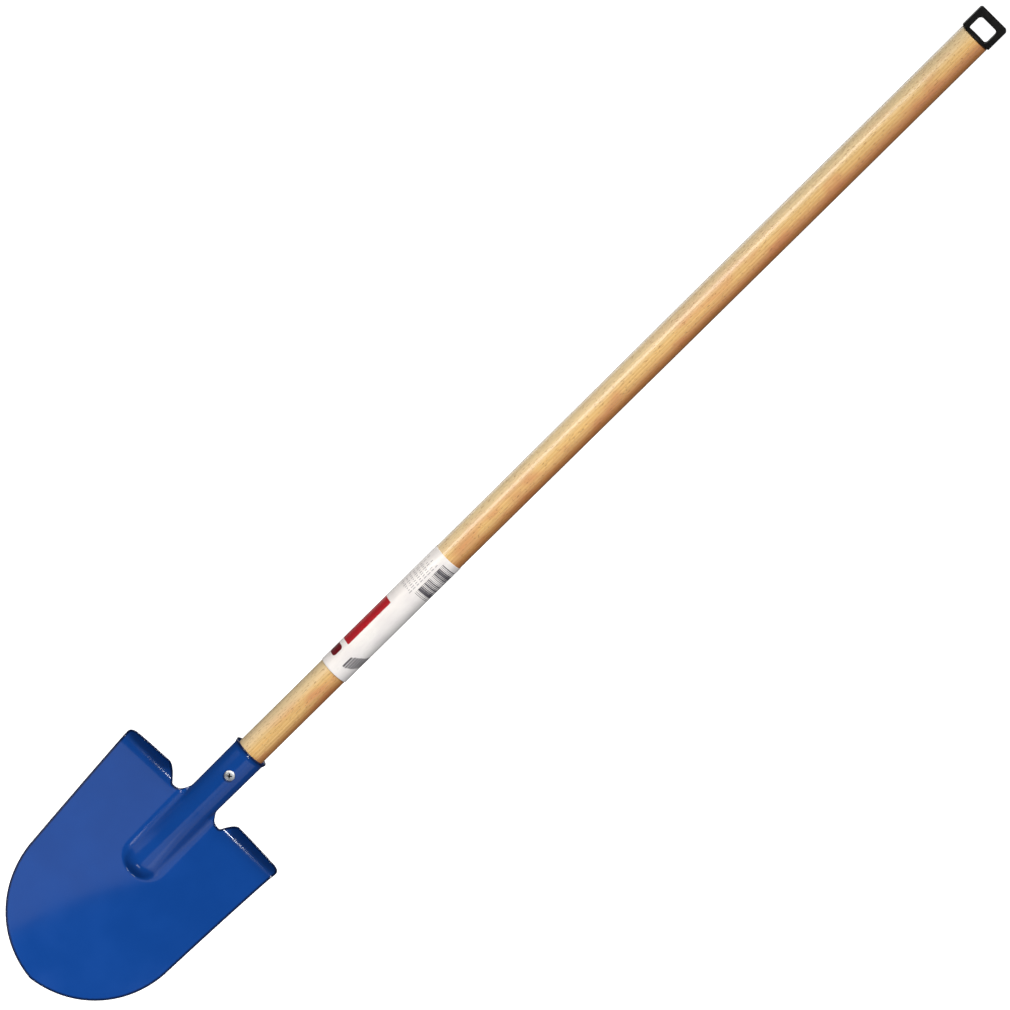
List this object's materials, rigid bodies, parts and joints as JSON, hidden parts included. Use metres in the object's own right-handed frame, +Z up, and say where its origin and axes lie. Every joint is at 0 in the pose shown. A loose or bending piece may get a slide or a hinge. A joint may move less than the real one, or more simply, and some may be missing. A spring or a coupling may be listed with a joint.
{
  "type": "round point shovel",
  "caption": "Long-handled round point shovel: pressed steel blade with open-back socket and rolled treads, turned wooden handle, plastic hang loop.",
  "frame": {"origin": "middle of the flat face at the top of the hang loop's opening, on the handle's axis, where a hook bears", "axes": "+Z up the handle's axis from the blade to the hang loop, -Y towards the front (the dished side of the blade, with the screw head), +X to the right seen from the front"},
  "size_m": [0.2293, 0.0892, 1.5004],
  "materials": {
    "blade_enamel": "semi-gloss blue stoving enamel on pressed steel sheet",
    "handle_wood": "clear lacquered turned hardwood, straight grain",
    "screw_zinc": "bright zinc plated",
    "cap_plastic": "moulded black polypropylene, fine satin",
    "label_film": "printed white film wrapped round the handle"
  },
  "bodies": {
    "root": {"blade": "blade_enamel", "handle": "handle_wood", "socket_screw": "screw_zinc", "hang_loop_cap": "cap_plastic", "handle_label": "label_film"}
  },
  "joints": []
}
